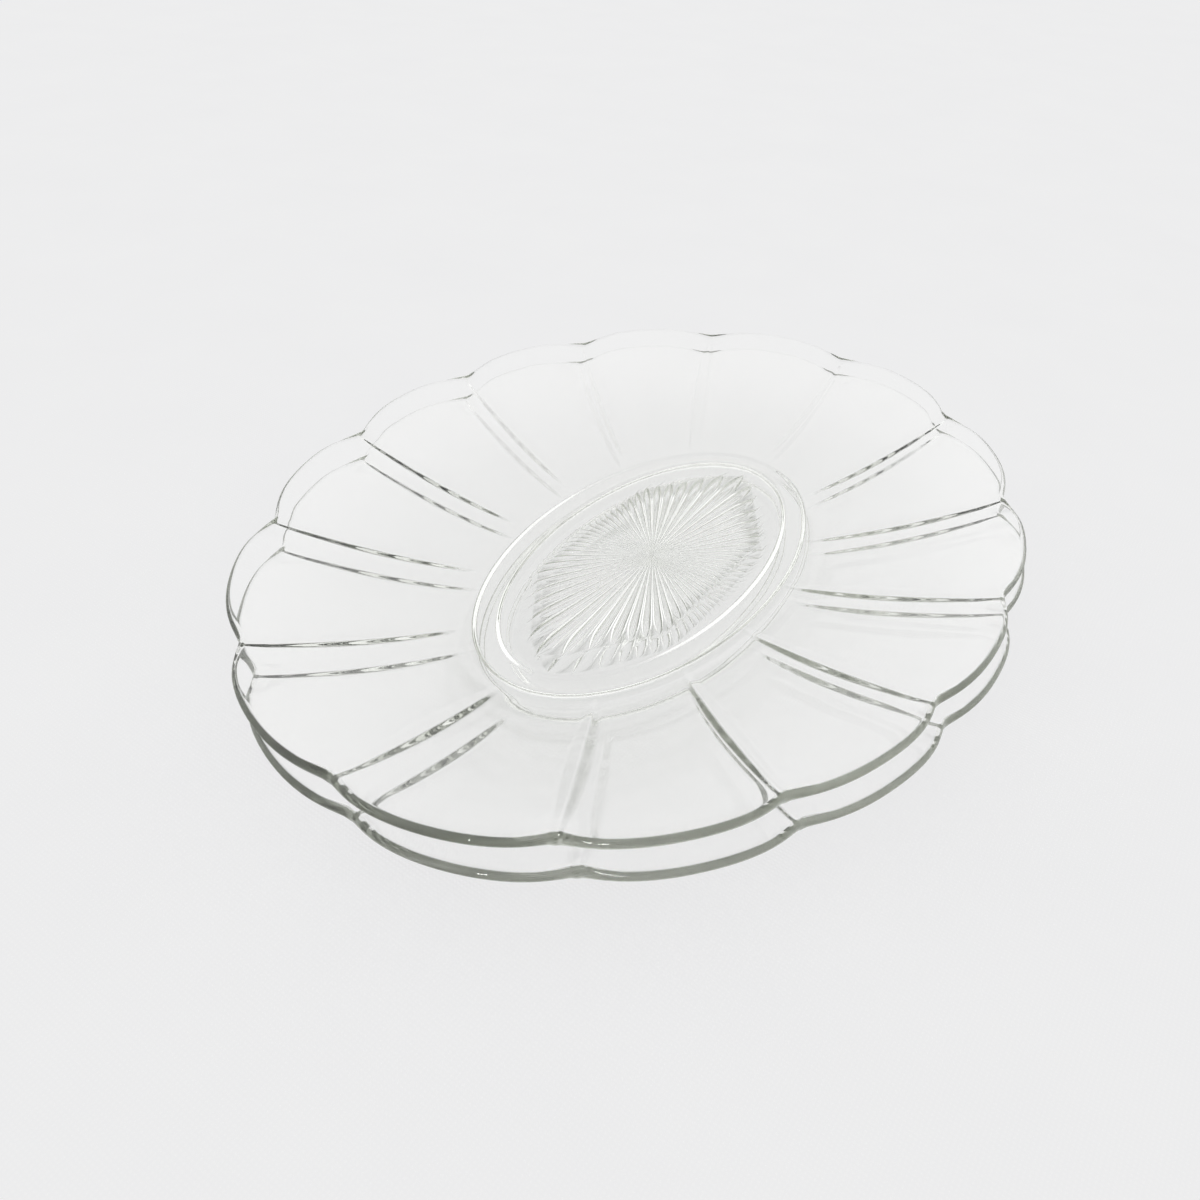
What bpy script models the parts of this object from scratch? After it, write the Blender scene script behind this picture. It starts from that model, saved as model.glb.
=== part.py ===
"""Nested pair of oval pressed-glass dishes with scalloped rims, ribbed undersides and foot rings."""

import math

import bmesh
import bpy
import numpy as np

# Plan of one dish, in metres: half lengths of the oval through the rim's notches and of the well's corner
PETALS = 14
RIM_LONG = 0.1498
RIM_SHORT = 0.1131
CORNER_LONG = 0.0855
CORNER_SHORT = 0.0490
CORE_LONG = 0.0500
CORE_SHORT = CORNER_SHORT - (CORNER_LONG - CORE_LONG)

# How far each petal stands out past the notches and above them, in metres, and the power of its arch
PETAL_REACH = 0.0041
PETAL_LIFT = 0.0023
PETAL_POWER = 3

# Powers of the share of the wall by which the petals' reach and lift fade towards the well
REACH_FADE = 2
LIFT_FADE = 3

# Section of one dish, in metres; the wall thins evenly from the base to the rim
WELL_DEPTH = 0.0175
FOOT_HEIGHT = 0.0022
BASE_THICK = 0.0057
RIM_THICK = 0.0028
WALL_CURVE = 0.30

# Foot ring: a rounded bead with a flat below, by its middle line and its half widths at root, shoulder and flat
FOOT_MIDDLE = 0.0770
FOOT_ROOT = 0.0050
FOOT_SHOULDER = 0.0042
FOOT_FLAT = 0.0030
SHOULDER_HEIGHT = 0.0007

# Ribs left standing between the panels of the underside, in metres
RIB_HALF = 0.0014
RIB_FLANK = 0.0030
PANEL_DEPTH = 0.0008
PANEL_FROM = 0.0905
PANEL_TO = 0.1415

# Star of rays cut into the base from below: its cut ends, the points where its slanting sides would meet on the
# long and the short axis, and its straight sides, in metres
RAYS = 60
STAR_TIP = 0.0665
STAR_END = 0.0714
STAR_PEAK = 0.0478
STAR_SIDE = 0.0260

# One ray: the share of its length at which it is widest, and its depth and its land by its half width there
RAY_BELLY = 0.78
RAY_SLOPE = 0.40
RAY_LAND = 0.04
CUTTER_DROP = 0.0010

# How the upper dish lies in the lower one
NEST_GAP = 0.0003
NEST_RISE = FOOT_HEIGHT + BASE_THICK + NEST_GAP
NEST_SHIFT = (0.0009, 0.0030)
NEST_TURN = math.radians(-1.52)

# Facets
ARC_STEPS = 720
WALL_STEPS = 6
LIP_STEPS = 4
COLUMNS_PER_PETAL = 10
RIB_COLUMNS = (0, 1, 9)
SLOPE_STEP = 0.0001
SAME_POINT = 0.000001
MERGE_STEP = 0.00001
LEVEL_DIGITS = 6
SHARP_ANGLE = math.radians(35.0)

GLASS_COLOUR = (0.93, 0.955, 0.94, 1.0)
GLASS_ROUGHNESS = 0.03
GLASS_IOR = 1.5


def clear_scene():
    """Remove every object that the scene starts with."""
    for item in list(bpy.data.objects):
        bpy.data.objects.remove(item, do_unlink=True)


def make_collection(name):
    """Add a collection to the scene."""
    group = bpy.data.collections.new(name)
    bpy.context.scene.collection.children.link(group)
    return group


def glass_material(name):
    """Clear glass with a faint cool tint."""
    material = bpy.data.materials.new(name)
    material.use_nodes = True
    shader = material.node_tree.nodes["Principled BSDF"]
    shader.inputs["Base Color"].default_value = GLASS_COLOUR
    shader.inputs["Roughness"].default_value = GLASS_ROUGHNESS
    shader.inputs["Metallic"].default_value = 0.0
    shader.inputs["IOR"].default_value = GLASS_IOR
    shader.inputs["Transmission Weight"].default_value = 1.0
    material.diffuse_color = GLASS_COLOUR
    return material


def wall_share(reach):
    """How far a reach lies up the wall: 0 over the base, 1 at the rim's notches."""
    return max(0.0, (reach - CORNER_LONG) / (RIM_LONG - CORNER_LONG))


def inside_height(reach):
    """Height of the inner surface: flat over the base, then a wall that steepens towards the rim."""
    share = wall_share(reach)
    rise = (1.0 - WALL_CURVE) * share + WALL_CURVE * share * share
    return FOOT_HEIGHT + BASE_THICK + WELL_DEPTH * rise


def wall_thickness(reach):
    """Thickness of the wall, which thins evenly from that of the base at the corner to that of the rim."""
    return BASE_THICK + (RIM_THICK - BASE_THICK) * wall_share(reach)


def wall_slope(reach):
    """Slope of the inner surface, by a central difference."""
    rise = inside_height(reach + SLOPE_STEP) - inside_height(reach - SLOPE_STEP)
    return rise / (2.0 * SLOPE_STEP)


def underside(reach):
    """Point on the outside of the wall, one wall thickness square below the inner surface."""
    slope = wall_slope(reach)
    drop = wall_thickness(reach) / math.hypot(1.0, slope)
    return (reach + slope * drop, inside_height(reach) - drop)


def section():
    """Half section along the long axis, from the middle of the inside over the lip to the middle below."""
    lip_start = RIM_LONG - 0.5 * RIM_THICK
    reaches = [CORNER_LONG + (lip_start - CORNER_LONG) * n / WALL_STEPS for n in range(1, WALL_STEPS + 1)]
    points = [(0.0, inside_height(0.0)), (CORE_LONG, inside_height(0.0)), (CORNER_LONG, inside_height(0.0))]
    points += [(reach, inside_height(reach)) for reach in reaches]
    top = points[-1]
    below = underside(lip_start)
    centre = (0.5 * (top[0] + below[0]), 0.5 * (top[1] + below[1]))
    start = math.atan2(top[1] - centre[1], top[0] - centre[0])
    radius = 0.5 * math.dist(top, below)
    for n in range(1, LIP_STEPS):
        angle = start - math.pi * n / LIP_STEPS
        points.append((centre[0] + radius * math.cos(angle), centre[1] + radius * math.sin(angle)))
    points += [underside(reach) for reach in reversed(reaches)]
    bead = [(FOOT_ROOT, FOOT_HEIGHT), (FOOT_SHOULDER, SHOULDER_HEIGHT), (FOOT_FLAT, 0.0)]
    points += [(FOOT_MIDDLE + half, height) for half, height in bead]
    points += [(FOOT_MIDDLE - half, height) for half, height in reversed(bead)]
    points += [(CORE_LONG, FOOT_HEIGHT), (0.0, FOOT_HEIGHT)]
    return points


def oval_axes(reach):
    """Semi-axes of the level oval that crosses the long axis at this reach, from the core out to the rim."""
    if reach < CORE_LONG:
        return reach, reach * CORE_SHORT / CORE_LONG
    if reach < CORNER_LONG:
        return reach, CORNER_SHORT - (CORNER_LONG - reach)
    return reach, CORNER_SHORT + (RIM_SHORT - CORNER_SHORT) * wall_share(reach)


class LevelOval:
    """One level oval, divided by arc length so that every petal gets an equal share of it."""

    def __init__(self, reach):
        self.long, self.short = oval_axes(reach)
        self.angle = np.linspace(0.0, 2.0 * math.pi, ARC_STEPS + 1)
        steps = np.hypot(np.diff(self.long * np.cos(self.angle)), np.diff(self.short * np.sin(self.angle)))
        self.length = np.concatenate([[0.0], np.cumsum(steps)])
        self.pitch = self.length[-1] / PETALS

    def place(self, distance, outwards):
        """Point at a distance along the oval, moved outwards square to it."""
        angle = np.interp(distance % self.length[-1], self.length, self.angle)
        normal = np.array([self.short * math.cos(angle), self.long * math.sin(angle)])
        normal /= np.linalg.norm(normal)
        return np.array([self.long * math.cos(angle), self.short * math.sin(angle)]) + outwards * normal


def column_offset(column, pitch):
    """Distance of a column of facets from the rib that starts its petal: rib, flanks, then panel."""
    edge = RIB_HALF + RIB_FLANK
    third = (0.5 * pitch - edge) / 3.0
    first_half = [0.0, RIB_HALF, edge, edge + third, edge + 2.0 * third]
    second_half = [pitch - stop for stop in reversed(first_half[1:])]
    return (first_half + [0.5 * pitch] + second_half)[column]


def petal_arch(offset, pitch):
    """Full arch over one petal: 0 at its two notches and 1 in the middle."""
    across = abs(2.0 * offset / pitch - 1.0)
    return 1.0 - across ** PETAL_POWER


def press_dish(mesh):
    """Press a turned blank into the oval: scallop its rim and sink the panels between the ribs below."""
    shape = bmesh.new()
    shape.from_mesh(mesh)
    bmesh.ops.remove_doubles(shape, verts=shape.verts, dist=SAME_POINT)
    columns = PETALS * COLUMNS_PER_PETAL
    ovals = {}
    for vert in shape.verts:
        reach = math.hypot(vert.co.x, vert.co.y)
        if reach < SAME_POINT:
            continue
        level = round(reach, LEVEL_DIGITS)
        if level not in ovals:
            ovals[level] = LevelOval(level)
        oval = ovals[level]
        turn = math.atan2(vert.co.y, vert.co.x) % (2.0 * math.pi)
        petal, column = divmod(round(turn / (2.0 * math.pi) * columns) % columns, COLUMNS_PER_PETAL)
        offset = column_offset(column, oval.pitch)
        share = wall_share(reach)
        arch = petal_arch(offset, oval.pitch)
        spot = oval.place(petal * oval.pitch + offset, PETAL_REACH * arch * share ** REACH_FADE)
        below = vert.co.z < inside_height(reach) - 0.5 * wall_thickness(reach)
        if below and PANEL_FROM < reach < PANEL_TO and column not in RIB_COLUMNS:
            vert.co.z += PANEL_DEPTH
        vert.co.z += PETAL_LIFT * arch * share ** LIFT_FADE
        vert.co.x, vert.co.y = spot
    bmesh.ops.recalc_face_normals(shape, faces=shape.faces)
    shape.to_mesh(mesh)
    shape.free()


def star_reach(angle):
    """Reach of the star in a direction: the least of its cut ends, slanting sides and straight sides."""
    along = max(abs(math.cos(angle)), SAME_POINT)
    aside = max(abs(math.sin(angle)), SAME_POINT)
    return min(STAR_TIP / along, 1.0 / (along / STAR_END + aside / STAR_PEAK), STAR_SIDE / aside)


def star_cutter():
    """Cutter for the star: a ring of kite-shaped roofs, one for each ray, on a plain skirt below the base."""
    pitch = 2.0 * math.pi / RAYS
    half = math.tan(0.5 * pitch) * RAY_BELLY
    shape = bmesh.new()
    middle = shape.verts.new((0.0, 0.0, FOOT_HEIGHT - RAY_LAND * half * STAR_SIDE))
    ridges, valleys, tips = [], [], []
    for ray in range(RAYS):
        reach = star_reach(ray * pitch)
        between = RAY_BELLY * 0.5 * (reach + star_reach((ray + 1) * pitch))
        direction = (math.cos(ray * pitch), math.sin(ray * pitch))
        aside = (math.cos((ray + 0.5) * pitch), math.sin((ray + 0.5) * pitch))
        low = FOOT_HEIGHT - RAY_LAND * half * reach
        valleys.append(shape.verts.new((direction[0] * RAY_BELLY * reach, direction[1] * RAY_BELLY * reach,
                                        FOOT_HEIGHT + RAY_SLOPE * half * reach)))
        tips.append(shape.verts.new((direction[0] * reach, direction[1] * reach, low)))
        ridges.append(shape.verts.new((aside[0] * between, aside[1] * between, low)))
    outline = [vert for pair in zip(tips, ridges) for vert in pair]
    skirt = [shape.verts.new((vert.co.x, vert.co.y, FOOT_HEIGHT - CUTTER_DROP)) for vert in outline]
    for ray in range(RAYS):
        for ridge in (ridges[ray - 1], ridges[ray]):
            shape.faces.new((middle, ridge, valleys[ray]))
            shape.faces.new((valleys[ray], ridge, tips[ray]))
    for n in range(len(outline)):
        shape.faces.new((outline[n - 1], outline[n], skirt[n], skirt[n - 1]))
    shape.faces.new(skirt)
    bmesh.ops.recalc_face_normals(shape, faces=shape.faces)
    mesh = bpy.data.meshes.new("star_cutter")
    shape.to_mesh(mesh)
    shape.free()
    return mesh


def cut_star(mesh):
    """Cut the star into the underside of a pressed dish."""
    dish = bpy.data.objects.new("uncut_dish", mesh)
    cutter = bpy.data.objects.new("star_cutter", star_cutter())
    for item in (dish, cutter):
        bpy.context.scene.collection.objects.link(item)
    cut = dish.modifiers.new("star", "BOOLEAN")
    cut.operation = "DIFFERENCE"
    cut.object = cutter
    starred = bpy.data.meshes.new_from_object(dish.evaluated_get(bpy.context.evaluated_depsgraph_get()))
    for item in (dish, cutter):
        bpy.data.objects.remove(item, do_unlink=True)
    return starred


def turned_blank():
    """Half section turned about the upright axis, as a mesh of its own."""
    points = section()
    outline = bpy.data.meshes.new("dish_section")
    outline.from_pydata([(x, 0.0, z) for x, z in points], [(n, n + 1) for n in range(len(points) - 1)], [])
    blank = bpy.data.objects.new("dish_section", outline)
    bpy.context.scene.collection.objects.link(blank)
    screw = blank.modifiers.new("turn", "SCREW")
    screw.axis = "Z"
    screw.steps = PETALS * COLUMNS_PER_PETAL
    screw.render_steps = screw.steps
    screw.use_merge_vertices = True
    screw.merge_threshold = MERGE_STEP
    mesh = bpy.data.meshes.new_from_object(blank.evaluated_get(bpy.context.evaluated_depsgraph_get()))
    bpy.data.objects.remove(blank, do_unlink=True)
    return mesh


def add_dish(name, mesh, group, material, side, height):
    """Stand one dish in the pair: each lies half the nest's shift and turn to its own side of the middle."""
    dish = bpy.data.objects.new(name, mesh)
    dish.location = (0.5 * side * NEST_SHIFT[0], 0.5 * side * NEST_SHIFT[1], height)
    dish.rotation_euler = (0.0, 0.0, 0.5 * side * NEST_TURN)
    mesh.materials.append(material)
    mesh.shade_smooth()
    mesh.set_sharp_from_angle(angle=SHARP_ANGLE)
    group.objects.link(dish)
    return dish


def main():
    """Build the nested pair."""
    clear_scene()
    group = make_collection("oval_serving_dish")
    blank = turned_blank()
    press_dish(blank)
    pressing = cut_star(blank)
    add_dish("lower_dish", pressing, group, glass_material("lower_glass"), -1.0, 0.0)
    add_dish("upper_dish", pressing.copy(), group, glass_material("upper_glass"), 1.0, NEST_RISE)


main()
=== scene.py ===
"""Nested pair of oval pressed-glass dishes on a pale table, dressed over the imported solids."""

import math

import bpy
import numpy as np
from bpy.props import FloatProperty, FloatVectorProperty, IntProperty, PointerProperty
from mathutils import Matrix, Vector


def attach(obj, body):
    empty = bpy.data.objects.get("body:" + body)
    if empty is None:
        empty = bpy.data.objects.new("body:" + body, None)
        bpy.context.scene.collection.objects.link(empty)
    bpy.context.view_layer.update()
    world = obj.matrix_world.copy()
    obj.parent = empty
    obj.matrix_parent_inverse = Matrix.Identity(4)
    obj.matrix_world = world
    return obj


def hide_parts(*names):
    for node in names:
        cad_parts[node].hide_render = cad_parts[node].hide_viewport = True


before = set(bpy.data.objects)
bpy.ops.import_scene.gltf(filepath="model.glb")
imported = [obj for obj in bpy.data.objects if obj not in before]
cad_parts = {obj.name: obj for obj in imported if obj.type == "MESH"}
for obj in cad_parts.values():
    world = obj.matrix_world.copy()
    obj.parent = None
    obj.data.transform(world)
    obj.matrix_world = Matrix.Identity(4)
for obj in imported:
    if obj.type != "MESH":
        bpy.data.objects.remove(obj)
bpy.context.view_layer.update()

bl_info = {
    "name": "Oval Serving Dishes",
    "version": (1, 0, 0),
    "blender": (4, 5, 0),
    "location": "View3D > Sidebar > Dishes",
    "description": "Adds a nested pair of oval pressed-glass serving dishes and their table",
    "category": "Add Mesh",
}

TURN = 2.0 * math.pi

# Columns of the grid in one petal, how strongly they gather at the ribs, and steps of an oval's arc length
COLUMNS_PER_PETAL = 60
COLUMN_GATHER = 0.6
ARC_STEPS = 2880

# Levels of the grid: shares of the flat well, then the inner wall, lip, outer wall and half the foot ring
WELL_SHARES = (0.2, 0.4, 0.6, 0.8)
INNER_LEVELS = 25
LIP_LEVELS = 10
OUTER_LEVELS = 27
FOOT_LEVELS = 9

# Power by which the inner levels gather towards the base
INNER_GATHER = 1.25

# How far from the foot ring the outer wall ends, and the run over which the panels deepen, in metres
WALL_END = 0.004
PANEL_RUN = 0.012

# Step for the wall's slope, in metres, and the least share of a direction that is divided by
SLOPE_STEP = 1e-5
LEAST_SHARE = 1e-6

# Levels of the plain base round the star, of the closing tips of its rays and of the rest of the rays
PLAIN_LEVELS = 3
TIP_LEVELS = 15
RAY_LEVELS = 13

# Share of a ray's length at which its innermost level lies
RAY_START = 0.035

# Columns of half the land between two rays, the land's share of their pitch, and a tip's share of it
LAND_COLUMNS = 2
LAND_SHARE = 0.08
TIP_SHARE = 0.06

# Share of stipple and grey painted shade on the plain base round the star, against the land between rays
PLAIN_STIPPLE_AND_SHADE = 0.12

# Noise on the pressed glass: slow waves of the mould, grain of the stipple, and smudges with their range
WAVE_NOISE = {"Scale": 55.0, "Detail": 1.0, "Roughness": 0.4}
GRAIN_NOISE = {"Scale": 1400.0, "Detail": 1.0, "Roughness": 0.5}
SMEAR_NOISE = {"Scale": 38.0, "Detail": 5.0, "Roughness": 0.62}
SMEAR_RANGE = {"From Min": 0.52, "From Max": 0.78, "To Min": 0.0, "To Max": 1.0}

# Heights of the waves and of the grain, in metres
WAVE_HEIGHT = 0.00010
GRAIN_HEIGHT = 0.00005

# How much the smudges colour and dull the glass, and how much the stipple dulls it
SMEAR_COLOUR = 0.025
SMEAR_DULLING = 0.035
STIPPLE_DULLING = 0.05

# Turn of the noise from one dish to the other, in radians
NOISE_TURN = 0.7

# Table cover: half its side in metres, its finish, its threads and slubs, and how far the weave shows
TABLE_HALF = 6.0
COVER_ROUGHNESS = 0.9
COVER_SHEEN = 0.1
THREAD_WAVE = {"Scale": 260.0, "Distortion": 1.5, "Detail": 2.0, "Detail Scale": 1.5}
SLUB_NOISE = {"Scale": 14.0, "Detail": 6.0, "Roughness": 0.65}
WEAVE_SHARE = 0.45
WEAVE_BUMP = {"Strength": 0.06, "Distance": 0.0005}

# Share of straight up from which the light of the sky stays level
SKY_LEVEL = 0.55

# Camera: width of its sensor in millimetres, and the nearest distance that it sees, in metres
SENSOR_WIDTH = 36.0
CLIP_START = 0.01

# Turns that a ray of light may take in the glass
GLASS_BOUNCES = 32


class DishSizes(bpy.types.PropertyGroup):
    """Sizes of one dish and how the two lie in each other."""

    petals: IntProperty(
        name="Petals", description="Petals of the rim, with a rib between each two", default=14, min=6)
    rim_long: FloatProperty(
        name="Rim half length", description="Half length of the oval through the rim's notches",
        default=0.1498, unit="LENGTH")
    rim_short: FloatProperty(
        name="Rim half width", description="Half width of the oval through the rim's notches",
        default=0.1131, unit="LENGTH")
    corner_long: FloatProperty(
        name="Well half length", description="Half length of the well's corner",
        default=0.0855, unit="LENGTH")
    corner_short: FloatProperty(
        name="Well half width", description="Half width of the well's corner",
        default=0.0490, unit="LENGTH")
    corner_soft: FloatProperty(
        name="Corner softness", description="Width over which the well turns into the wall",
        default=0.0025, unit="LENGTH")
    petal_reach: FloatProperty(
        name="Petal reach", description="How far a petal stands out past the notches",
        default=0.0041, unit="LENGTH")
    petal_lift: FloatProperty(
        name="Petal lift", description="How far a petal rises above the notches",
        default=0.0023, unit="LENGTH")
    petal_power: FloatProperty(
        name="Petal fullness", description="Power of the arch that a petal makes between two notches",
        default=3.0)
    notch_soft: FloatProperty(
        name="Notch softness", description="Rounding of the notch between two petals",
        default=0.0025, unit="LENGTH")
    well_depth: FloatProperty(
        name="Well depth", description="Depth of the well below the notches",
        default=0.0175, unit="LENGTH")
    wall_curve: FloatProperty(
        name="Wall curve", description="Share of the wall's rise that comes late, towards the rim",
        default=0.30)
    rim_thick: FloatProperty(
        name="Rim thickness", description="Thickness of the wall at the rim's notches",
        default=0.0029, unit="LENGTH")
    base_thick: FloatProperty(
        name="Base thickness", description="Thickness of the base inside the foot ring",
        default=0.0057, unit="LENGTH")
    foot_height: FloatProperty(
        name="Foot height", description="Height of the foot ring", default=0.0022, unit="LENGTH")
    foot_middle: FloatProperty(
        name="Foot middle", description="Half length of the foot ring's middle line",
        default=0.0770, unit="LENGTH")
    foot_half: FloatProperty(
        name="Foot half width", description="Half width of the foot ring at its root",
        default=0.0050, unit="LENGTH")
    foot_flat: FloatProperty(
        name="Foot flat", description="Half width of the flat that the foot ring stands on",
        default=0.0030, unit="LENGTH")
    rib_half: FloatProperty(
        name="Rib half width", description="Half width of a rib at its middle",
        default=0.0032, unit="LENGTH")
    rib_taper: FloatProperty(
        name="Rib taper", description="Share of a rib's width and height that is left at its ends",
        default=0.42)
    rib_round: FloatProperty(
        name="Rib rounding", description="Rounding of a rib's crest and foot as a share of its half width",
        default=0.15)
    boss_height: FloatProperty(
        name="Boss height", description="How far the rim thickens upwards at a notch",
        default=0.0014, unit="LENGTH")
    boss_half: FloatProperty(
        name="Boss half width", description="Distance from a notch over which the rim thickens",
        default=0.0105, unit="LENGTH")
    boss_from: FloatProperty(
        name="Boss from", description="Share of the wall at which the thickening starts",
        default=0.86)
    panel_depth: FloatProperty(
        name="Panel depth", description="How far the panels lie back between the ribs",
        default=0.00089, unit="LENGTH")
    rays: IntProperty(name="Rays", description="Rays of the star under the base", default=60, min=12)
    ray_slope: FloatProperty(
        name="Ray slope", description="Slope of a ray's flute at its edges",
        default=math.radians(50.0), subtype="ANGLE")
    leaf_close: FloatProperty(
        name="Leaf close", description="Share of a ray's length at which it starts to close to its tip",
        default=0.80)
    star_tip: FloatProperty(
        name="Star half length", description="Reach of the star's end rays",
        default=0.0665, unit="LENGTH")
    star_end: FloatProperty(
        name="Star end", description="Where the star's slanting sides would meet on the long axis",
        default=0.0714, unit="LENGTH")
    star_peak: FloatProperty(
        name="Star peak", description="Where the star's slanting sides would meet on the short axis",
        default=0.0478, unit="LENGTH")
    star_side: FloatProperty(
        name="Star half width", description="Half width of the star at its straight sides",
        default=0.0260, unit="LENGTH")
    nest_gap: FloatProperty(
        name="Nest gap", description="Gap under the upper dish's foot ring",
        default=0.0003, unit="LENGTH")
    nest_shift: FloatVectorProperty(
        name="Nest shift", description="How far the upper dish lies off the lower one", size=2,
        default=(0.0009, 0.0030), unit="LENGTH")
    nest_turn: FloatProperty(
        name="Nest turn", description="How far the upper dish is turned in the lower one",
        default=math.radians(-1.52), subtype="ANGLE")


class GlassLook(bpy.types.PropertyGroup):
    """Finish of the pressed glass."""

    tint: FloatVectorProperty(
        name="Tint", description="Colour of the clear glass", subtype="COLOR", size=3,
        default=(1.0, 1.0, 0.998))
    # Grey of the faint smudges, and painted shade on the plain base and on the land between the star's rays
    smudge_and_shade: FloatVectorProperty(
        name="Smudge and Shade", description="Colour of smudges and of the land between rays", subtype="COLOR", size=3,
        default=(0.52, 0.53, 0.51))
    depth_tint: FloatVectorProperty(
        name="Depth tint", description="Colour that the glass takes on edge", subtype="COLOR", size=3,
        default=(0.820, 0.829, 0.803))
    depth_density: FloatProperty(
        name="Depth density", description="How fast the glass takes its colour on edge", default=34.0)
    ior: FloatProperty(name="IOR", description="Refractive index of the glass", default=1.5)


class StageLook(bpy.types.PropertyGroup):
    """Table, light and camera."""

    table: FloatVectorProperty(
        name="Table", description="Colour of the table cover", subtype="COLOR", size=3,
        default=(0.84, 0.84, 0.843))
    thread: FloatVectorProperty(
        name="Thread", description="Colour of the cover's thinner places", subtype="COLOR", size=3,
        default=(0.81, 0.81, 0.818))
    glow: FloatProperty(
        name="Glow", description="Share of the table cover's white that no shadow takes away", default=0.90)
    sky: FloatProperty(name="Sky", description="Strength of the light from above", default=1.26)
    dusk: FloatProperty(name="Dusk", description="Strength of the light from the horizon", default=1.0)
    lamp_place: FloatVectorProperty(
        name="Lamp place", description="Where the small lamp that makes the glints hangs", size=3,
        default=(-0.75, -0.25, 0.95), unit="LENGTH")
    lamp_size: FloatProperty(
        name="Lamp size", description="Side of the small lamp", default=0.10, unit="LENGTH")
    lamp_power: FloatProperty(
        name="Lamp power", description="Power of the small lamp in watts", default=1.2)
    camera_place: FloatVectorProperty(
        name="Camera place", description="Where the camera stands", size=3,
        default=(-0.2508, -0.1330, 0.2255), unit="LENGTH")
    camera_heading: FloatProperty(
        name="Camera heading", description="Turn of the view from the short axis towards the long one",
        default=math.radians(58.37), subtype="ANGLE")
    camera_dip: FloatProperty(
        name="Camera dip", description="How far the view looks down",
        default=math.radians(39.51), subtype="ANGLE")
    camera_roll: FloatProperty(
        name="Camera roll", description="Turn of the view about its own axis",
        default=math.radians(4.29), subtype="ANGLE")
    camera_lens: FloatProperty(name="Camera lens", description="Focal length in millimetres", default=30.03)


def smooth_step(value, low, high):
    """Rises from 0 at low to 1 at high along three times the square less twice the cube."""
    share = np.clip((value - low) / (high - low), 0.0, 1.0)
    return share * share * (3.0 - 2.0 * share)


def wall_share(sizes, reach):
    """How far a reach lies up the wall: below 0 over the base, 0 at the corner, 1 at the rim's notches."""
    return (reach - sizes.corner_long) / (sizes.rim_long - sizes.corner_long)


def inside_height(sizes, reach):
    """Height of the inner surface: a soft ramp, bent upwards by a square.

    The ramp is half the sum of the distance past the corner and the root of its square plus that of a width.
    """
    run = sizes.rim_long - sizes.corner_long
    past = reach - sizes.corner_long
    share = 0.5 * (past + np.sqrt(past * past + sizes.corner_soft ** 2)) / run
    rise = (1.0 - sizes.wall_curve) * share + sizes.wall_curve * share * share
    return sizes.foot_height + sizes.base_thick + sizes.well_depth * rise


def underside(sizes, reach):
    """Outside of the wall: the inner surface moved square to itself by a thickness that falls to the rim."""
    rise = inside_height(sizes, reach + SLOPE_STEP) - inside_height(sizes, reach - SLOPE_STEP)
    slope = rise / (2.0 * SLOPE_STEP)
    share = np.clip(wall_share(sizes, reach), 0.0, 1.0)
    thick = sizes.base_thick + (sizes.rim_thick - sizes.base_thick) * share
    drop = thick / np.hypot(1.0, slope)
    return reach + slope * drop, inside_height(sizes, reach) - drop


def section(sizes):
    """Half section along the long axis, from the inner base over the lip to the foot ring's inner root.

    Gives three arrays: reach, height, and how much of the panels' depth applies there. The lip is half a
    circle between the two surfaces. The foot ring rises from its flat to its root by a squared sine.
    """
    base_edge = sizes.foot_middle - 0.5 * sizes.foot_half
    lip_start = sizes.rim_long - 0.5 * sizes.rim_thick
    inner = base_edge + (lip_start - base_edge) * np.linspace(0.0, 1.0, INNER_LEVELS) ** INNER_GATHER
    inner_height = inside_height(sizes, inner)

    low_reach, low_height = underside(sizes, np.array([lip_start]))
    middle = np.array([0.5 * (lip_start + low_reach[0]), 0.5 * (inner_height[-1] + low_height[0])])
    first = math.atan2(inner_height[-1] - middle[1], lip_start - middle[0])
    radius = math.hypot(inner_height[-1] - middle[1], lip_start - middle[0])
    angle = first - math.pi * np.linspace(0.0, 1.0, LIP_LEVELS + 2)[1:-1]
    lip = middle[0] + radius * np.cos(angle)
    lip_height = middle[1] + radius * np.sin(angle)

    foot_outer = sizes.foot_middle + sizes.foot_half
    outer_run = lip_start + (foot_outer + WALL_END - lip_start) * np.linspace(0.0, 1.0, OUTER_LEVELS)
    outer, outer_height = underside(sizes, outer_run)
    outer_height = np.maximum(outer_height, sizes.foot_height)
    panel = smooth_step(outer_run, foot_outer, foot_outer + PANEL_RUN)
    lip_panel = smooth_step(-angle, -first, math.pi - first)

    flank = np.linspace(1.0, 0.0, FOOT_LEVELS)
    aside = sizes.foot_flat + (sizes.foot_half - sizes.foot_flat) * flank
    foot = sizes.foot_middle + np.concatenate([aside, -aside[::-1]])
    foot_height = sizes.foot_height * np.sin(0.5 * math.pi * flank) ** 2
    foot_height = np.concatenate([foot_height, foot_height[::-1]])

    reach = np.concatenate([inner, lip, outer, foot])
    height = np.concatenate([inner_height, lip_height, outer_height, foot_height])
    depth = np.concatenate([np.zeros(len(inner)), lip_panel, panel, np.zeros(len(foot))])
    return reach, height, depth


def column_shares(sizes):
    """Places of the columns round an oval as shares of it, gathered at the ribs by a sine in each petal."""
    count = sizes.petals * COLUMNS_PER_PETAL
    place = np.arange(count) / COLUMNS_PER_PETAL
    return (place - COLUMN_GATHER * np.sin(TURN * place) / TURN) / sizes.petals


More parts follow.
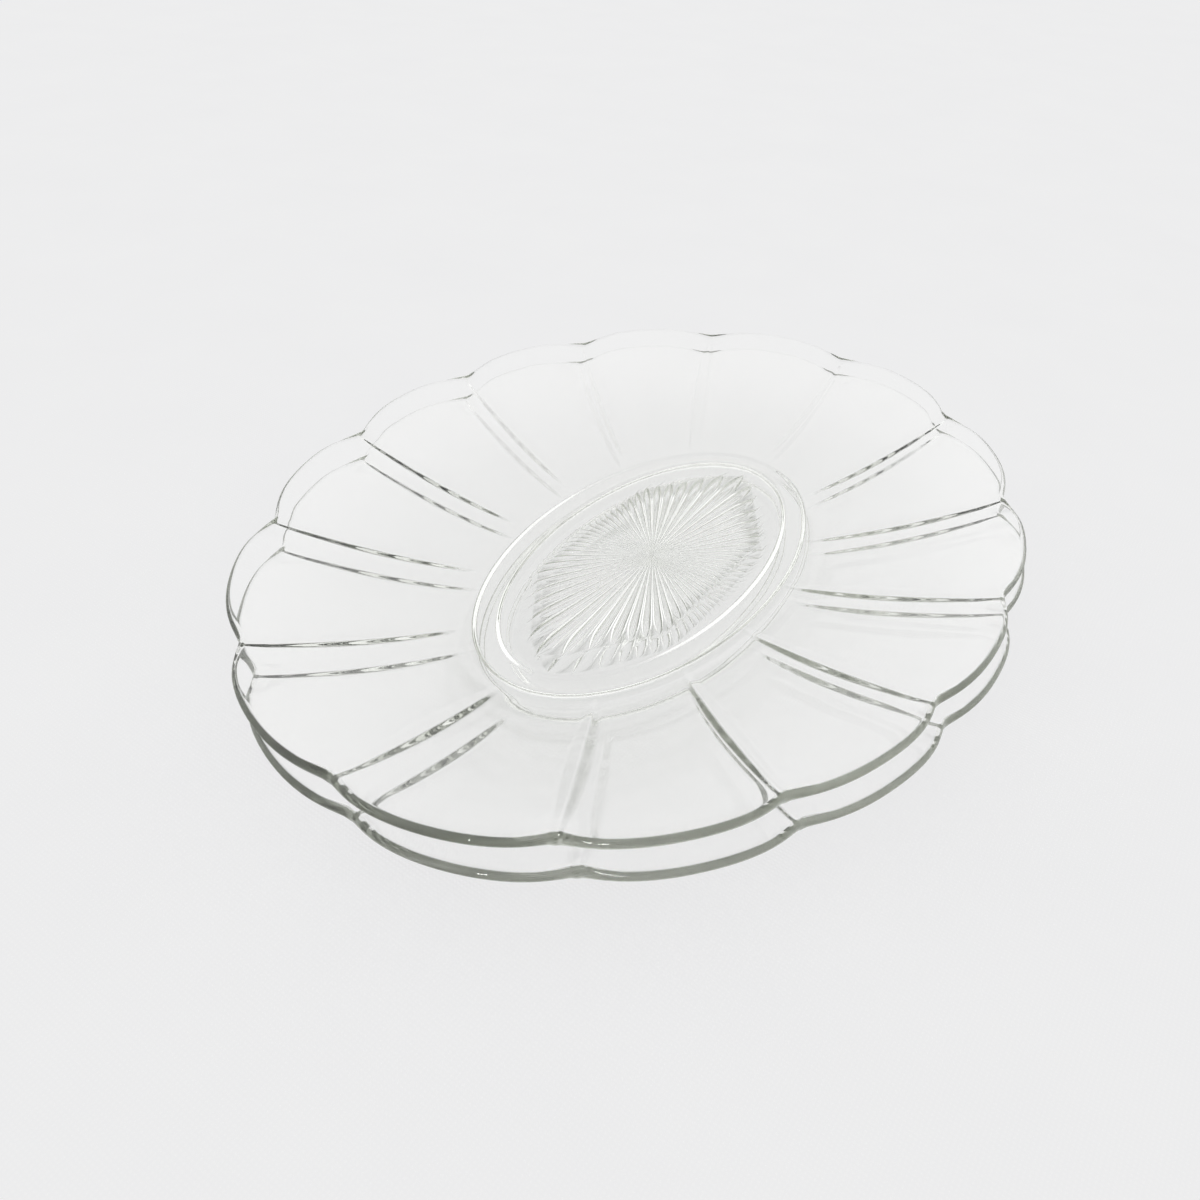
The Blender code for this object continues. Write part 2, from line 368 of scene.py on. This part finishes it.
def pressed_wall(sizes, shares):
    """Grid of the whole section round the oval: each level is an ellipse divided by its arc length.

    A petal is an arch, one less a power of the place across it, that moves the level outwards by the square
    of its share of the wall and upwards by the cube. A rib has straight flanks with its crest and its foot
    rounded by the root of a sum of squares, and the panels beside it lie back by the panel depth. A half
    sine along the rib swells its width and its height. A low boss on the inner side thickens the rim at each
    notch, by one smooth step along the rim and one up the wall.
    """
    reach, height, depth = section(sizes)
    share = wall_share(sizes, reach)
    wall_run = (sizes.rim_short - sizes.corner_short) * share
    short_run = np.where(share > 0.0, wall_run, reach - sizes.corner_long)
    long_axis = reach[:, None]
    short_axis = (sizes.corner_short + short_run)[:, None]

    angle = np.linspace(0.0, TURN, ARC_STEPS + 1)
    steps = np.hypot(np.diff(long_axis * np.cos(angle)), np.diff(short_axis * np.sin(angle)))
    length = np.concatenate([np.zeros_like(long_axis), np.cumsum(steps, axis=1)], axis=1)
    turned = np.array([np.interp(shares * row[-1], row, angle) for row in length])

    across = np.stack([short_axis * np.cos(turned), long_axis * np.sin(turned)], axis=-1)
    across /= np.linalg.norm(across, axis=-1, keepdims=True)

    pitch = length[:, -1:] / sizes.petals
    place = (shares * sizes.petals) % 1.0
    from_rib = pitch * np.minimum(place, 1.0 - place)
    eased = np.sqrt(from_rib ** 2 + sizes.notch_soft ** 2) - sizes.notch_soft
    arch = 1.0 - np.abs(1.0 - 2.0 * eased / pitch) ** sizes.petal_power
    lifted = np.clip(share, 0.0, None)[:, None]

    swell = sizes.rib_taper + (1.0 - sizes.rib_taper) * np.sin(math.pi * np.clip(lifted, 0.0, 1.0))
    aside = np.hypot(from_rib / (sizes.rib_half * swell), sizes.rib_round) - sizes.rib_round
    rib = 0.5 * (1.0 - aside + np.hypot(1.0 - aside, sizes.rib_round))

    out = sizes.petal_reach * arch * lifted ** 2
    grid = np.empty(turned.shape + (3,))
    grid[..., 0] = long_axis * np.cos(turned) + out * across[..., 0]
    grid[..., 1] = short_axis * np.sin(turned) + out * across[..., 1]
    grid[..., 2] = height[:, None] + sizes.petal_lift * arch * lifted ** 3
    grid[..., 2] += sizes.panel_depth * swell * depth[:, None] * (1.0 - rib)
    near_notch = 1.0 - smooth_step(from_rib, 0.0, sizes.boss_half)
    near_rim = smooth_step(share, sizes.boss_from, 1.0)[:, None]
    grid[..., 2] += sizes.boss_height * (near_notch * near_rim) * (1.0 - depth[:, None])
    return grid


def star_reach(sizes, angle):
    """Reach of the star in a direction: the least of its cut ends, slanting sides and straight sides."""
    along = np.abs(np.cos(angle))
    aside = np.abs(np.sin(angle))
    slant = 1.0 / (along / sizes.star_end + aside / sizes.star_peak)
    end = sizes.star_tip / np.maximum(along, LEAST_SHARE)
    side = sizes.star_side / np.maximum(aside, LEAST_SHARE)
    return np.minimum(np.minimum(slant, end), side)


def pressed_star(sizes, rim):
    """Grid of the underside from the foot ring's inner root to near the middle, with the star pressed in.

    Each ray is a leaf-shaped flute. Across it, the cut is one less the square of the place between its
    middle line and its edge. Along it, the half width keeps to the ray's pitch and then closes to the tip by
    one less the square of the way there. The columns follow the edges of the leaves, and the outermost ones
    of each ray lie on the plain land between two leaves. The first levels run straight from the foot ring to
    the tips. Gives the grid and its share of stipple, which is faint round the star and full on the land;
    the same share greys the glass there as painted shade.
    """
    count = rim.shape[0]
    per_ray = count // sizes.rays
    index = np.arange(count)
    number = (index + per_ray // 2) // per_ray
    step = index - number * per_ray
    inside = per_ray // 2 - LAND_COLUMNS
    leaf = np.sin(0.5 * math.pi * np.clip(np.abs(step) / inside, 0.0, 1.0))
    land = np.clip((np.abs(step) - inside) / LAND_COLUMNS, 0.0, 1.0)

    pitch = TURN / sizes.rays
    tip = star_reach(sizes, number * pitch)
    beside = star_reach(sizes, (number + np.sign(step)) * pitch)
    tip_way = np.linspace(1.0, sizes.leaf_close, TIP_LEVELS)
    ray_way = np.linspace(sizes.leaf_close, RAY_START, RAY_LEVELS + 1)[1:]
    way = np.concatenate([tip_way, ray_way])[:, None]
    closing = np.clip((way - sizes.leaf_close) / (1.0 - sizes.leaf_close), 0.0, 1.0)
    half = 0.5 * pitch * (1.0 - LAND_SHARE) * (1.0 - (1.0 - TIP_SHARE) * closing ** 2)
    angle = number * pitch + np.sign(step) * (leaf * half + land * (0.5 * pitch - half))
    reach = way * (tip + 0.5 * land * (beside - tip))
    cut = 0.5 * math.tan(sizes.ray_slope) * half * reach * (1.0 - leaf ** 2)

    star = np.empty(reach.shape + (3,))
    star[..., 0] = reach * np.cos(angle)
    star[..., 1] = reach * np.sin(angle)
    star[..., 2] = sizes.foot_height + cut
    plain_share = np.linspace(0.0, 1.0, PLAIN_LEVELS + 2)[1:-1, None, None]
    plain = rim[None] * (1.0 - plain_share) + star[:1] * plain_share
    plain[..., 2] = sizes.foot_height
    # Share of stipple, which also greys the glass as painted shade: faint round the star, full on the land
    plain_stipple_and_shade = np.full((len(plain), count), PLAIN_STIPPLE_AND_SHADE)
    star_stipple_and_shade = np.where(way < 1.0, land, PLAIN_STIPPLE_AND_SHADE)
    return np.concatenate([plain, star]), np.concatenate([plain_stipple_and_shade, star_stipple_and_shade])


def dish_grid(sizes):
    """Grid of one dish from its inner middle over the rim to its lower middle, and each point's stipple and
    painted shade.
    """
    shares = column_shares(sizes)
    wall = pressed_wall(sizes, shares)
    well_share = np.array(WELL_SHARES)[:, None, None]
    well = wall[:1] * np.concatenate([well_share, well_share, np.ones_like(well_share)], axis=-1)
    below, below_stipple_and_shade = pressed_star(sizes, wall[-1])
    smooth = np.zeros((len(well) + len(wall), len(shares)))
    return np.concatenate([well, wall, below]), np.concatenate([smooth, below_stipple_and_shade])


def closed_mesh(name, grid, stipple_and_shade):
    """Closes a grid into a mesh: quads between each two levels, and a fan to a pole at each end."""
    levels, count = grid.shape[:2]
    poles = np.array([[0.0, 0.0, grid[0, :, 2].mean()], [0.0, 0.0, grid[-1, :, 2].mean()]])
    points = np.concatenate([grid.reshape(-1, 3), poles])
    column = np.arange(count)
    beside = (column + 1) % count
    row = (np.arange(levels - 1) * count)[:, None]
    quads = np.stack([row + column, row + count + column, row + count + beside, row + beside], axis=-1)
    last = (levels - 1) * count
    top = np.stack([np.full(count, levels * count), column, beside], axis=-1)
    bottom = np.stack([np.full(count, levels * count + 1), last + beside, last + column], axis=-1)
    mesh = bpy.data.meshes.new(name)
    mesh.from_pydata(points.tolist(), [], quads.reshape(-1, 4).tolist() + top.tolist() + bottom.tolist())
    mesh.validate()
    mesh.shade_smooth()
    # Each point's stipple, which also sets the grey painted shade on the base and between the star's rays
    mark = mesh.attributes.new("stipple_and_shade", "FLOAT", "POINT")
    mark.data.foreach_set("value", np.concatenate([stipple_and_shade.ravel(), [0.0, 0.0]]).astype(np.float32))
    return mesh


def node(tree, kind, place, **values):
    """Adds a node and sets its properties, and its inputs by name or number."""
    made = tree.nodes.new(kind)
    made.location = place
    for key, value in values.items():
        if key == "inputs":
            for socket, given in value.items():
                made.inputs[socket].default_value = given
        else:
            setattr(made, key, value)
    return made


def pressed_surface_group():
    """Node group for pressed glass: slow waves, faint smudges, and stipple where the mould is grained.

    Smudges are noise cut off below a level. They and the stipple mix the clear colour with the grey one and
    add up to the roughness; the grey where the stipple lies is painted shade. The height is the waves plus
    the grain where the stipple lies.
    """
    tree = bpy.data.node_groups.new("Pressed Glass Surface", "ShaderNodeTree")
    face = tree.interface
    face.new_socket("Place", in_out="INPUT", socket_type="NodeSocketVector")
    face.new_socket("Stipple and Shade", in_out="INPUT", socket_type="NodeSocketFloat")
    face.new_socket("Clear", in_out="INPUT", socket_type="NodeSocketColor")
    face.new_socket("Smudged and Shaded", in_out="INPUT", socket_type="NodeSocketColor")
    face.new_socket("Color", in_out="OUTPUT", socket_type="NodeSocketColor")
    face.new_socket("Roughness", in_out="OUTPUT", socket_type="NodeSocketFloat")
    face.new_socket("Height", in_out="OUTPUT", socket_type="NodeSocketFloat")
    link = tree.links.new
    given = node(tree, "NodeGroupInput", (-900, 0))
    result = node(tree, "NodeGroupOutput", (700, 0))

    wave = node(tree, "ShaderNodeTexNoise", (-650, 250), inputs=WAVE_NOISE)
    grain = node(tree, "ShaderNodeTexNoise", (-650, 0), inputs=GRAIN_NOISE)
    smear = node(tree, "ShaderNodeTexNoise", (-650, -250), inputs=SMEAR_NOISE)
    for texture in (wave, grain, smear):
        link(given.outputs["Place"], texture.inputs["Vector"])

    patch = node(tree, "ShaderNodeMapRange", (-400, -250), inputs=SMEAR_RANGE)
    link(smear.outputs["Fac"], patch.inputs["Value"])
    # Share of the grey: faint smudges, plus the stipple's share, which is painted shade
    smudge_and_shade_share = node(tree, "ShaderNodeMath", (-250, -250), operation="MULTIPLY_ADD", inputs={1: SMEAR_COLOUR})
    link(patch.outputs["Result"], smudge_and_shade_share.inputs[0])
    link(given.outputs["Stipple and Shade"], smudge_and_shade_share.inputs[2])
    colour = node(tree, "ShaderNodeMix", (-100, -200), data_type="RGBA")
    link(smudge_and_shade_share.outputs["Value"], colour.inputs["Factor"])
    link(given.outputs["Clear"], colour.inputs["A"])
    link(given.outputs["Smudged and Shaded"], colour.inputs["B"])
    link(colour.outputs["Result"], result.inputs["Color"])

    dull = node(tree, "ShaderNodeMath", (-100, -420), operation="MULTIPLY", inputs={1: SMEAR_DULLING})
    link(patch.outputs["Result"], dull.inputs[0])
    frosted = node(tree, "ShaderNodeMath", (100, -420), operation="MULTIPLY_ADD",
                   inputs={1: STIPPLE_DULLING})
    link(given.outputs["Stipple and Shade"], frosted.inputs[0])
    link(dull.outputs["Value"], frosted.inputs[2])
    link(frosted.outputs["Value"], result.inputs["Roughness"])

    grained = node(tree, "ShaderNodeMath", (-400, 20), operation="MULTIPLY")
    link(grain.outputs["Fac"], grained.inputs[0])
    link(given.outputs["Stipple and Shade"], grained.inputs[1])
    fine = node(tree, "ShaderNodeMath", (-200, 20), operation="MULTIPLY", inputs={1: GRAIN_HEIGHT})
    link(grained.outputs["Value"], fine.inputs[0])
    slow = node(tree, "ShaderNodeMath", (-200, 250), operation="MULTIPLY", inputs={1: WAVE_HEIGHT})
    link(wave.outputs["Fac"], slow.inputs[0])
    sum_up = node(tree, "ShaderNodeMath", (100, 150), operation="ADD")
    link(slow.outputs["Value"], sum_up.inputs[0])
    link(fine.outputs["Value"], sum_up.inputs[1])
    link(sum_up.outputs["Value"], result.inputs["Height"])
    return tree


def pressed_glass(name, look, group, turn):
    """Clear pressed glass: the surface group, turned about the upright axis, and a tint of its depth."""
    material = bpy.data.materials.new(name)
    material.use_nodes = True
    tree = material.node_tree
    link = tree.links.new
    shader = tree.nodes["Principled BSDF"]
    shader.inputs["Metallic"].default_value = 0.0
    shader.inputs["Transmission Weight"].default_value = 1.0
    shader.inputs["IOR"].default_value = look.ior
    where = node(tree, "ShaderNodeTexCoord", (-1100, 0))
    place = node(tree, "ShaderNodeMapping", (-900, 0), inputs={"Rotation": (0.0, 0.0, turn)})
    link(where.outputs["Object"], place.inputs["Vector"])
    mark = node(tree, "ShaderNodeAttribute", (-900, -350), attribute_name="stipple_and_shade")
    surface = node(tree, "ShaderNodeGroup", (-600, 0), node_tree=group)
    surface.inputs["Clear"].default_value = (*look.tint, 1.0)
    # The grey gives faint smudges, and painted shade where the stipple lies
    surface.inputs["Smudged and Shaded"].default_value = (*look.smudge_and_shade, 1.0)
    link(place.outputs["Vector"], surface.inputs["Place"])
    link(mark.outputs["Fac"], surface.inputs["Stipple and Shade"])
    link(surface.outputs["Color"], shader.inputs["Base Color"])
    link(surface.outputs["Roughness"], shader.inputs["Roughness"])
    bump = node(tree, "ShaderNodeBump", (-300, -250), inputs={"Strength": 1.0, "Distance": 1.0})
    link(surface.outputs["Height"], bump.inputs["Height"])
    link(bump.outputs["Normal"], shader.inputs["Normal"])
    depth = node(tree, "ShaderNodeVolumeAbsorption", (0, -500))
    depth.inputs["Color"].default_value = (*look.depth_tint, 1.0)
    depth.inputs["Density"].default_value = look.depth_density
    link(depth.outputs["Volume"], tree.nodes["Material Output"].inputs["Volume"])
    return material


def table_cover(look):
    """Pale woven cover: two crossed waves for the threads, broken by noise, in colour and in bump.

    To the camera, to mirrors and through glass, most of its white glows, so that shadows on it stay faint.
    """
    material = bpy.data.materials.new("table_cover")
    material.use_nodes = True
    tree = material.node_tree
    link = tree.links.new
    shader = tree.nodes["Principled BSDF"]
    shader.inputs["Roughness"].default_value = COVER_ROUGHNESS
    shader.inputs["Specular IOR Level"].default_value = COVER_SHEEN
    where = node(tree, "ShaderNodeTexCoord", (-1100, 0))
    warp = node(tree, "ShaderNodeTexWave", (-800, 200), bands_direction="X", inputs=THREAD_WAVE)
    weft = node(tree, "ShaderNodeTexWave", (-800, -150), bands_direction="Y", inputs=THREAD_WAVE)
    slub = node(tree, "ShaderNodeTexNoise", (-800, -450), inputs=SLUB_NOISE)
    for texture in (warp, weft, slub):
        link(where.outputs["Object"], texture.inputs["Vector"])
    weave = node(tree, "ShaderNodeMath", (-550, 50), operation="MULTIPLY")
    link(warp.outputs["Fac"], weave.inputs[0])
    link(weft.outputs["Fac"], weave.inputs[1])
    blend = node(tree, "ShaderNodeMath", (-350, -100), operation="MULTIPLY_ADD", inputs={1: WEAVE_SHARE})
    link(weave.outputs["Value"], blend.inputs[0])
    link(slub.outputs["Fac"], blend.inputs[2])
    colour = node(tree, "ShaderNodeMix", (-150, 50), data_type="RGBA")
    colour.inputs["A"].default_value = (*look.thread, 1.0)
    colour.inputs["B"].default_value = (*look.table, 1.0)
    link(blend.outputs["Value"], colour.inputs["Factor"])
    link(colour.outputs["Result"], shader.inputs["Base Color"])
    bump = node(tree, "ShaderNodeBump", (-150, -300), inputs=WEAVE_BUMP)
    link(weave.outputs["Value"], bump.inputs["Height"])
    link(bump.outputs["Normal"], shader.inputs["Normal"])

    path = node(tree, "ShaderNodeLightPath", (-150, 500))
    seen = node(tree, "ShaderNodeMath", (50, 500), operation="MAXIMUM")
    link(path.outputs["Is Camera Ray"], seen.inputs[0])
    link(path.outputs["Is Glossy Ray"], seen.inputs[1])
    through = node(tree, "ShaderNodeMath", (250, 500), operation="MAXIMUM")
    link(seen.outputs["Value"], through.inputs[0])
    link(path.outputs["Is Transmission Ray"], through.inputs[1])
    share = node(tree, "ShaderNodeMath", (450, 500), operation="MULTIPLY", inputs={1: look.glow})
    link(through.outputs["Value"], share.inputs[0])
    white = node(tree, "ShaderNodeEmission", (250, -200), inputs={"Strength": 1.0})
    link(colour.outputs["Result"], white.inputs["Color"])
    mixed = node(tree, "ShaderNodeMixShader", (500, 100))
    link(share.outputs["Value"], mixed.inputs["Fac"])
    link(shader.outputs["BSDF"], mixed.inputs[1])
    link(white.outputs["Emission"], mixed.inputs[2])
    link(mixed.outputs["Shader"], tree.nodes["Material Output"].inputs["Surface"])
    return material


def soft_sky(look):
    """Light from all round, which grows from the horizon to a height and then stays level."""
    world = bpy.data.worlds.new("soft_sky")
    world.use_nodes = True
    tree = world.node_tree
    link = tree.links.new
    shade = tree.nodes["Background"]
    where = node(tree, "ShaderNodeTexCoord", (-900, 0))
    split = node(tree, "ShaderNodeSeparateXYZ", (-700, 0))
    link(where.outputs["Generated"], split.inputs["Vector"])
    rise = node(tree, "ShaderNodeMapRange", (-450, 0), interpolation_type="SMOOTHSTEP",
                inputs={"From Min": 0.0, "From Max": SKY_LEVEL, "To Min": look.dusk, "To Max": look.sky})
    link(split.outputs["Z"], rise.inputs["Value"])
    link(rise.outputs["Result"], shade.inputs["Strength"])
    shade.inputs["Color"].default_value = (1.0, 1.0, 1.0, 1.0)
    bpy.context.scene.world = world


def hang_lamp(look):
    """Small square lamp turned towards the dishes; it lights no matt surface and shows only in the glass."""
    data = bpy.data.lights.new("glint_lamp", "AREA")
    data.size = look.lamp_size
    data.energy = look.lamp_power
    lamp = bpy.data.objects.new("glint_lamp", data)
    lamp.location = look.lamp_place
    lamp.rotation_euler = (-Vector(look.lamp_place)).to_track_quat("-Z", "Y").to_euler()
    lamp.visible_diffuse = False
    lamp.visible_camera = False
    bpy.context.scene.collection.objects.link(lamp)


def place_camera(look):
    """Camera from its place, heading, dip and roll: its axes are built from the direction it looks in."""
    heading, dip, roll = look.camera_heading, look.camera_dip, look.camera_roll
    ahead = Vector((math.sin(heading) * math.cos(dip), math.cos(heading) * math.cos(dip), -math.sin(dip)))
    level = Vector((math.cos(heading), -math.sin(heading), 0.0))
    upright = level.cross(ahead)
    right = math.cos(roll) * level + math.sin(roll) * upright
    up = math.cos(roll) * upright - math.sin(roll) * level
    data = bpy.data.cameras.new("photo_view")
    data.lens = look.camera_lens
    data.sensor_width = SENSOR_WIDTH
    data.clip_start = CLIP_START
    camera = bpy.data.objects.new("photo_view", data)
    turned = Matrix((right, up, -ahead)).transposed().to_4x4()
    camera.matrix_world = Matrix.Translation(look.camera_place) @ turned
    bpy.context.scene.collection.objects.link(camera)
    bpy.context.scene.camera = camera


class DISH_OT_add_pair(bpy.types.Operator):
    """Add the two nested dishes, each over its own solid"""

    bl_idname = "serving_dish.add_pair"
    bl_label = "Add Nested Dishes"

    def execute(self, context):
        sizes = context.scene.dish_sizes
        look = context.scene.dish_glass
        group = pressed_surface_group()
        grid, stipple_and_shade = dish_grid(sizes)
        rise = sizes.foot_height + sizes.base_thick + sizes.nest_gap
        for name, body, side, height in (("lower", "lower", -0.5, 0.0), ("upper", "upper", 0.5, rise)):
            spin = Matrix.Rotation(side * sizes.nest_turn, 4, "Z")
            move = Matrix.Translation((side * sizes.nest_shift[0], side * sizes.nest_shift[1], height))
            mesh = closed_mesh(name + "_pressing", grid, stipple_and_shade)
            mesh.transform(move @ spin)
            mesh.materials.append(pressed_glass(name + "_pressed_glass", look, group, NOISE_TURN * side))
            dish = bpy.data.objects.new(name + "_pressing", mesh)
            context.scene.collection.objects.link(dish)
            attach(dish, body)
            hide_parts(name + "_dish")
        return {"FINISHED"}


class DISH_OT_set_stage(bpy.types.Operator):
    """Lay the table cover and set the light and the camera"""

    bl_idname = "serving_dish.set_stage"
    bl_label = "Set Table and Light"

    def execute(self, context):
        look = context.scene.dish_stage
        corners = [(x * TABLE_HALF, y * TABLE_HALF, 0.0) for x, y in ((-1, -1), (1, -1), (1, 1), (-1, 1))]
        mesh = bpy.data.meshes.new("table")
        mesh.from_pydata(corners, [], [(0, 1, 2, 3)])
        mesh.materials.append(table_cover(look))
        table = bpy.data.objects.new("table", mesh)
        context.scene.collection.objects.link(table)
        soft_sky(look)
        hang_lamp(look)
        place_camera(look)
        context.scene.view_settings.view_transform = "Standard"
        context.scene.cycles.max_bounces = GLASS_BOUNCES
        context.scene.cycles.transmission_bounces = GLASS_BOUNCES
        context.scene.cycles.glossy_bounces = GLASS_BOUNCES
        return {"FINISHED"}


class DISH_PT_sidebar(bpy.types.Panel):
    """Sidebar panel of the dishes"""

    bl_label = "Oval Serving Dishes"
    bl_idname = "DISH_PT_sidebar"
    bl_space_type = "VIEW_3D"
    bl_region_type = "UI"
    bl_category = "Dishes"

    def draw(self, context):
        layout = self.layout
        for settings in (context.scene.dish_sizes, context.scene.dish_glass, context.scene.dish_stage):
            box = layout.box()
            for name in settings.__annotations__:
                box.prop(settings, name)
        layout.operator(DISH_OT_add_pair.bl_idname)
        layout.operator(DISH_OT_set_stage.bl_idname)


CLASSES = (DishSizes, GlassLook, StageLook, DISH_OT_add_pair, DISH_OT_set_stage, DISH_PT_sidebar)


def register():
    """Register the classes and their settings on the scene."""
    for item in CLASSES:
        bpy.utils.register_class(item)
    bpy.types.Scene.dish_sizes = PointerProperty(type=DishSizes)
    bpy.types.Scene.dish_glass = PointerProperty(type=GlassLook)
    bpy.types.Scene.dish_stage = PointerProperty(type=StageLook)


def unregister():
    """Take the settings and the classes away again."""
    del bpy.types.Scene.dish_stage
    del bpy.types.Scene.dish_glass
    del bpy.types.Scene.dish_sizes
    for item in reversed(CLASSES):
        bpy.utils.unregister_class(item)


def main():
    """Build the dishes and the stage."""
    register()
    bpy.ops.serving_dish.add_pair()
    bpy.ops.serving_dish.set_stage()


if __name__ == "__main__":
    main()
